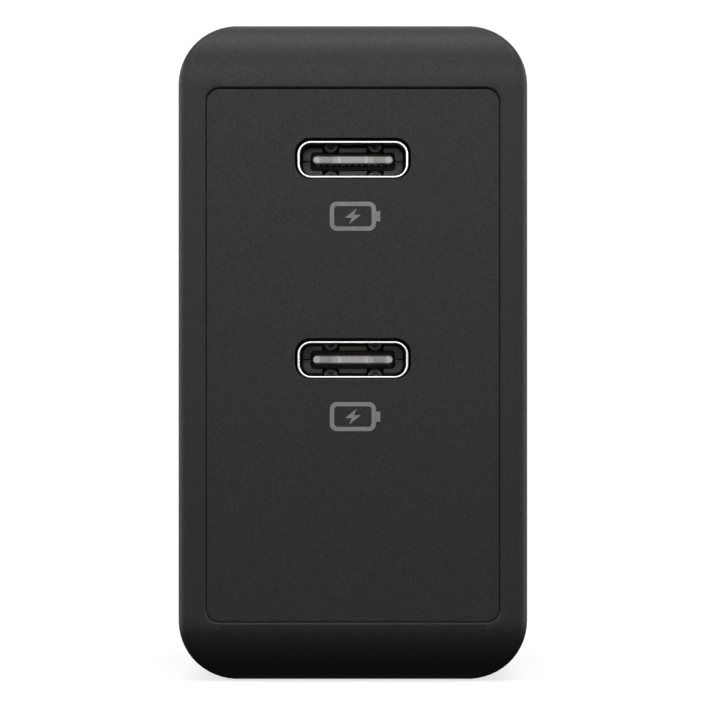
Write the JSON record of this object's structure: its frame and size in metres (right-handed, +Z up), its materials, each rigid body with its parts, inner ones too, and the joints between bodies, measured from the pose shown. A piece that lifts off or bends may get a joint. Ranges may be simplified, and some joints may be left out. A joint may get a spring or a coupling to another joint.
{
  "type": "usb wall charger",
  "caption": "Compact upright wall charger with USB-C ports in a recessed front panel and a folding blade plug in its rear face.",
  "frame": {"origin": "centre of the charger's footprint, on the surface that it stands on", "axes": "+Z up, -Y out of the port face towards the user, +Y into the wall, +X to the right seen from the front"},
  "size_m": [0.0274, 0.046, 0.0517],
  "materials": {
    "housing_plastic": "near-black polycarbonate with a fine spark-eroded texture",
    "panel_plastic": "near-black polycarbonate, the same fine texture",
    "symbol_ink": "flat mid-grey printed ink",
    "port_steel": "nickel-plated drawn steel",
    "moulded_black": "black moulded nylon",
    "dark_steel": "dark oxidised spring steel",
    "tip_plastic": "light grey moulded liquid-crystal polymer",
    "contact_gold": "gold-plated copper alloy",
    "board_green": "green solder mask on glass-epoxy board",
    "chip_black": "black moulding compound",
    "inductor_grey": "pressed iron-powder composite",
    "capacitor_can": "bare drawn aluminium can",
    "capacitor_sleeve": "aluminium can in a dark shrink sleeve",
    "ferrite": "sintered power ferrite, dark grey",
    "winding_tape": "yellow polyester winding tape",
    "choke_ferrite": "epoxy-coated ferrite ring, dark green",
    "copper_wire": "enamelled copper wire",
    "film_yellow": "yellow capacitor case",
    "ceramic_blue": "blue epoxy-dipped ceramic",
    "thermistor_coat": "dark green lacquered disc",
    "fuse_ceramic": "ceramic tube with plated caps",
    "heat_plate": "rolled aluminium sheet",
    "pad_grey": "soft silicone gap pad",
    "sheet_white": "white insulating film",
    "carrier_plastic": "black glass-filled nylon",
    "blade_metal": "nickel-plated brass",
    "retainer_plastic": "black glass-filled nylon",
    "screw_steel": "zinc-plated steel",
    "spring_steel": "stainless spring strip",
    "spring_bronze": "phosphor-bronze strip",
    "wire_insulation_brown": "brown wire insulation",
    "wire_insulation_blue": "blue wire insulation"
  },
  "bodies": {
    "charger": {"housing_shell": "housing_plastic", "front_panel": "panel_plastic", "rear_cover": "housing_plastic", "port_symbol_upper": "symbol_ink", "port_symbol_lower": "symbol_ink", "port_shell_upper": "port_steel", "port_insulator_upper": "moulded_black", "port_tongue_upper": "moulded_black", "port_tip_upper": "tip_plastic", "port_mid_plate_upper": "port_steel", "port_contacts_upper": "contact_gold", "port_springs_upper": "dark_steel", "port_shell_lower": "port_steel", "port_insulator_lower": "moulded_black", "port_tongue_lower": "moulded_black", "port_tip_lower": "tip_plastic", "port_mid_plate_lower": "port_steel", "port_contacts_lower": "contact_gold", "port_springs_lower": "dark_steel", "port_board": "board_green", "port_controllers": "chip_black", "buck_inductor_left": "inductor_grey", "buck_inductor_right": "inductor_grey", "port_capacitor_left": "capacitor_can", "port_capacitor_right": "capacitor_can", "board_header_pins": "contact_gold", "main_board": "board_green", "transformer_core": "ferrite", "transformer_bobbin": "moulded_black", "transformer_winding": "winding_tape", "bulk_capacitor_1": "capacitor_sleeve", "bulk_capacitor_2": "capacitor_sleeve", "bulk_capacitor_3": "capacitor_sleeve", "output_capacitor_1": "capacitor_can", "output_capacitor_2": "capacitor_can", "choke_core": "choke_ferrite", "choke_winding_front": "copper_wire", "choke_winding_rear": "copper_wire", "line_filter_capacitor": "film_yellow", "safety_capacitor": "ceramic_blue", "inrush_thermistor": "thermistor_coat", "fuse": "fuse_ceramic", "bridge_rectifier": "chip_black", "power_switch": "chip_black", "feedback_optocoupler": "chip_black", "heat_spreader": "heat_plate", "thermal_pad": "pad_grey", "insulating_sheet": "sheet_white", "blade_tray": "housing_plastic", "plug_retainer": "retainer_plastic", "retainer_screws": "screw_steel", "detent_spring": "spring_steel", "contact_spring_left": "spring_bronze", "contact_spring_right": "spring_bronze", "live_wire": "wire_insulation_brown", "neutral_wire": "wire_insulation_blue"},
    "plug": {"plug_carrier": "carrier_plastic", "blade_left": "blade_metal", "blade_right": "blade_metal"}
  },
  "joints": [
    {"name": "plug_fold", "type": "hinge", "parent": "charger", "child": "plug", "pos_m": [0, 0.0191, 0.0366], "axis": [1, 0, 0], "range_deg": [0, 90], "deforming": ["detent_spring"]}
  ]
}
